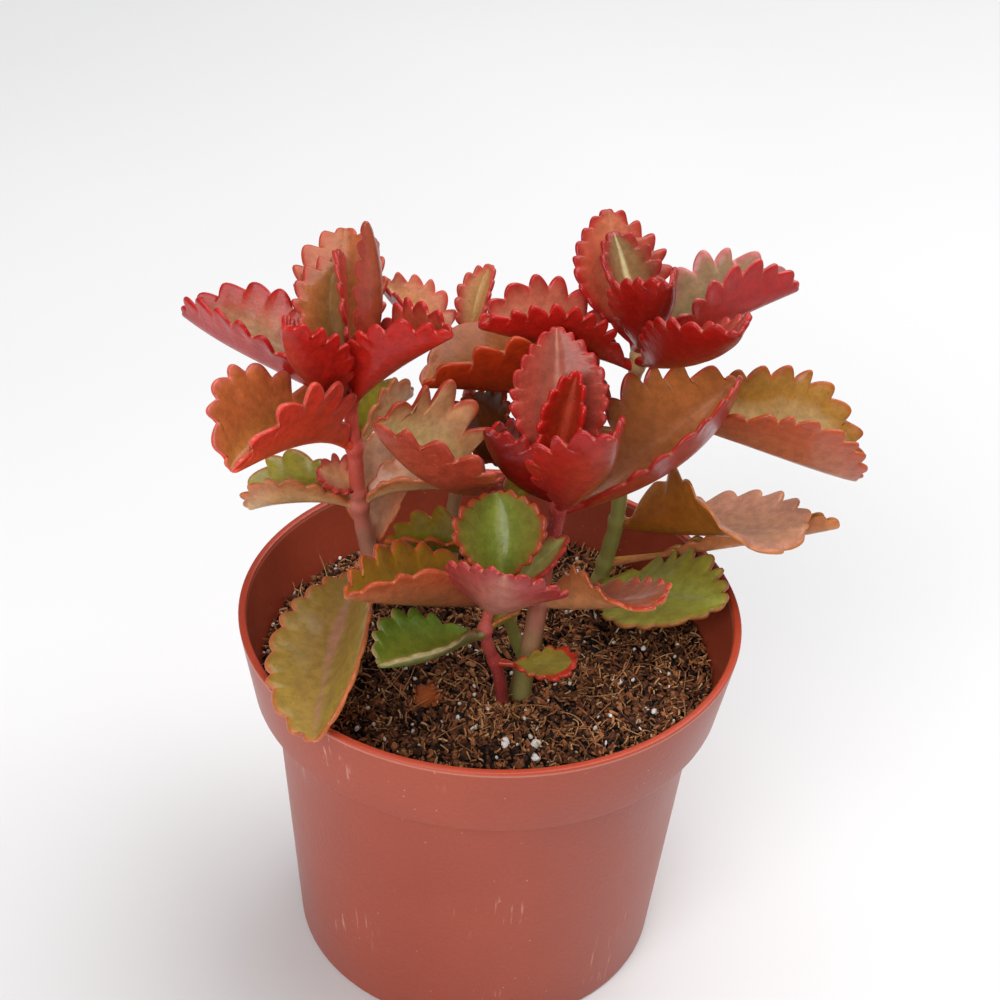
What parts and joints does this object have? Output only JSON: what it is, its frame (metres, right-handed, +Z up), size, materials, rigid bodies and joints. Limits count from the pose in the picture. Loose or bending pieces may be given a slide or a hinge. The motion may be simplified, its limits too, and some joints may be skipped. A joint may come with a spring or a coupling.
{
  "type": "potted cathedral bells plant",
  "caption": "Young cathedral bells plant with red and green trough-shaped, scallop-edged leaves, standing in soil in a round nursery pot.",
  "frame": {"origin": "centre of the pot's flat foot, on the surface it stands on", "axes": "+Z up, -Y towards the front of the picture, +X to its right"},
  "size_m": [0.1647, 0.12, 0.1902],
  "materials": {
    "pot": "thin satin terracotta-coloured plastic",
    "soil": "loose brown coir and bark mix with white grains",
    "stem": "smooth fleshy stem, red to olive",
    "leaf": "smooth waxy succulent leaf, red margin and back, olive to orange inside"
  },
  "bodies": {
    "root": {"pot": "pot", "soil": "soil", "left_stem": "stem", "right_stem": "stem", "back_stem": "stem", "front_stem": "stem", "middle_stem": "stem", "small_stem": "stem", "left_leaf_1": "leaf", "left_leaf_2": "leaf", "left_leaf_3": "leaf", "left_leaf_4": "leaf", "left_leaf_5": "leaf", "left_leaf_6": "leaf", "left_leaf_7": "leaf", "left_leaf_8": "leaf", "left_leaf_9": "leaf", "left_leaf_10": "leaf", "left_leaf_11": "leaf", "left_leaf_12": "leaf", "left_leaf_13": "leaf", "right_leaf_1": "leaf", "right_leaf_2": "leaf", "right_leaf_3": "leaf", "right_leaf_4": "leaf", "right_leaf_5": "leaf", "right_leaf_6": "leaf", "right_leaf_7": "leaf", "right_leaf_8": "leaf", "right_leaf_9": "leaf", "right_leaf_10": "leaf", "right_leaf_11": "leaf", "front_leaf_1": "leaf", "front_leaf_2": "leaf", "front_leaf_3": "leaf", "front_leaf_4": "leaf", "front_leaf_5": "leaf", "front_leaf_6": "leaf", "front_leaf_7": "leaf", "middle_leaf_1": "leaf", "middle_leaf_2": "leaf", "middle_leaf_3": "leaf", "back_leaf_1": "leaf", "back_leaf_2": "leaf", "back_leaf_3": "leaf", "small_leaf_1": "leaf", "small_leaf_2": "leaf", "small_leaf_3": "leaf", "small_leaf_4": "leaf", "small_leaf_5": "leaf", "small_leaf_6": "leaf"}
  },
  "joints": []
}
